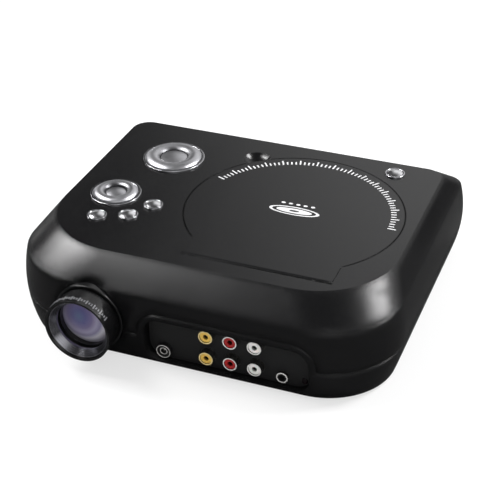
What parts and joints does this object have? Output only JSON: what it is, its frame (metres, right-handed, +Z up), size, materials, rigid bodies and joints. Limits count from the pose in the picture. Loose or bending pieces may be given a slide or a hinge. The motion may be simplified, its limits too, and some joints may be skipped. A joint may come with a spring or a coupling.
{
  "type": "projector with built-in disc player",
  "caption": "Low rounded table-top projector with a focusing lens at the front, a round flip-up disc lid, ring-shaped key pads and a recessed jack bay.",
  "frame": {"origin": "centre of the overall footprint, on the surface the feet stand on", "axes": "+X to the right seen from the lens side, +Y away from the lens, +Z up"},
  "size_m": [0.23, 0.21, 0.0635],
  "materials": {
    "case_gloss": "polished black ABS",
    "key_gloss": "polished black key caps",
    "inner_plastic": "moulded black, fine spark texture",
    "panel_plastic": "satin black jack plate",
    "lens_plastic": "satin black barrel",
    "rubber": "black rubber",
    "steel": "zinc-plated steel",
    "bright_trim": "bright plated bezels",
    "nickel": "nickel-plated sleeves",
    "optic_glass": "coated lens glass",
    "clear_sheet": "ribbed clear sheet",
    "display_glass": "liquid-crystal panel",
    "smoked_window": "dark infrared window",
    "circuit_board": "green glass-epoxy board",
    "chip_plastic": "moulded component bodies",
    "lamp_ceramic": "lamp die under its phosphor dome",
    "aluminium": "extruded aluminium",
    "yellow_plastic": "yellow insert",
    "red_plastic": "red insert",
    "white_plastic": "white insert"
  },
  "bodies": {
    "root": {"board_chips": "chip_plastic", "bottom_case": "case_gloss", "card_socket": "steel", "case_screws": "steel", "condenser_lens": "optic_glass", "dc_jack": "panel_plastic", "dc_pin": "nickel", "deck_chassis": "steel", "deck_dampers": "rubber", "disc_well": "inner_plastic", "fan_frame": "inner_plastic", "fresnel_lenses": "clear_sheet", "guide_rods": "steel", "headphone_jack": "panel_plastic", "headphone_nut": "bright_trim", "heat_sink": "aluminium", "hinge_pins": "steel", "jack_plate": "panel_plastic", "key_bezels": "bright_trim", "key_boards": "circuit_board", "lcd_panel": "display_glass", "led_lamp": "lamp_ceramic", "lens_bezel": "lens_plastic", "lens_mount": "lens_plastic", "light_box": "inner_plastic", "main_board": "circuit_board", "menu_ring_bezel": "bright_trim", "play_ring_bezel": "bright_trim", "power_bezel": "bright_trim", "rca_housing": "inner_plastic", "rca_sleeves": "nickel", "red_inserts": "red_plastic", "rubber_feet": "rubber", "sled_motor": "steel", "speaker": "inner_plastic", "spindle_motor": "steel", "status_window": "smoked_window", "tact_switches": "chip_plastic", "top_case": "case_gloss", "usb_socket": "steel", "white_inserts": "white_plastic", "yellow_inserts": "yellow_plastic"},
    "lid": {"disc_lid": "case_gloss"},
    "focus": {"focus_ring": "lens_plastic"},
    "optics": {"lens_barrel": "lens_plastic", "front_lens": "optic_glass", "rear_lens": "optic_glass"},
    "platter": {"turntable": "inner_plastic"},
    "sled": {"pickup_sled": "inner_plastic", "objective_lens": "optic_glass"},
    "feed_screw": {"lead_screw": "steel"},
    "impeller": {"fan_rotor": "inner_plastic"},
    "menu_ring_body": {"menu_ring": "key_gloss"},
    "menu_button_body": {"menu_button": "key_gloss"},
    "play_ring_body": {"play_ring": "key_gloss"},
    "play_button_body": {"play_button": "key_gloss"},
    "left_key_body": {"left_key": "key_gloss"},
    "middle_key_body": {"middle_key": "key_gloss"},
    "right_key_body": {"right_key": "key_gloss"},
    "power_button_body": {"power_button": "key_gloss"}
  },
  "joints": [
    {"name": "lid_hinge", "type": "hinge", "parent": "root", "child": "lid", "pos_m": [0.0316, -0.055, 0.0575], "axis": [1, 0, 0], "range_deg": [0, 75]},
    {"name": "focus_turn", "type": "hinge", "parent": "root", "child": "focus", "pos_m": [-0.0559, -0.09, 0.028], "axis": [0, 1, 0], "range_deg": [-80, 80]},
    {"name": "barrel_slide", "type": "slide", "parent": "root", "child": "optics", "axis": [0, 1, 0], "range_m": [-0.002, 0.002]},
    {"name": "platter_spin", "type": "hinge", "parent": "root", "child": "platter", "pos_m": [0.0316, 0.008, 0.0543], "axis": [0, 0, 1], "continuous": true},
    {"name": "sled_slide", "type": "slide", "parent": "root", "child": "sled", "axis": [0, 1, 0], "range_m": [0, 0.029]},
    {"name": "screw_turn", "type": "hinge", "parent": "root", "child": "feed_screw", "pos_m": [0.0536, 0.05, 0.0435], "axis": [0, 1, 0], "range_deg": [-5, 3485]},
    {"name": "fan_spin", "type": "hinge", "parent": "root", "child": "impeller", "pos_m": [-0.0559, 0.093, 0.028], "axis": [0, 1, 0], "continuous": true},
    {"name": "menu_ring_press", "type": "slide", "parent": "root", "child": "menu_ring_body", "axis": [0, 0, -1], "range_m": [0, 0.0008], "stiffness_N_per_m": 300, "springref_m": -0.001},
    {"name": "menu_button_press", "type": "slide", "parent": "root", "child": "menu_button_body", "axis": [0, 0, -1], "range_m": [0, 0.0008], "stiffness_N_per_m": 300, "springref_m": -0.001},
    {"name": "play_ring_press", "type": "slide", "parent": "root", "child": "play_ring_body", "axis": [0, 0, -1], "range_m": [0, 0.0008], "stiffness_N_per_m": 300, "springref_m": -0.001},
    {"name": "play_button_press", "type": "slide", "parent": "root", "child": "play_button_body", "axis": [0, 0, -1], "range_m": [0, 0.0008], "stiffness_N_per_m": 300, "springref_m": -0.001},
    {"name": "left_key_press", "type": "slide", "parent": "root", "child": "left_key_body", "axis": [0, 0, -1], "range_m": [0, 0.0008], "stiffness_N_per_m": 300, "springref_m": -0.001},
    {"name": "middle_key_press", "type": "slide", "parent": "root", "child": "middle_key_body", "axis": [0, 0, -1], "range_m": [0, 0.0008], "stiffness_N_per_m": 300, "springref_m": -0.001},
    {"name": "right_key_press", "type": "slide", "parent": "root", "child": "right_key_body", "axis": [0, 0, -1], "range_m": [0, 0.0008], "stiffness_N_per_m": 300, "springref_m": -0.001},
    {"name": "power_button_press", "type": "slide", "parent": "root", "child": "power_button_body", "axis": [0, 0, -1], "range_m": [0, 0.0008], "stiffness_N_per_m": 300, "springref_m": -0.001}
  ],
  "couplings": [
    {"joint": "focus_turn", "follows": "barrel_slide", "rad_per_m": 698},
    {"joint": "screw_turn", "follows": "sled_slide", "rad_per_m": 2094.4}
  ]
}
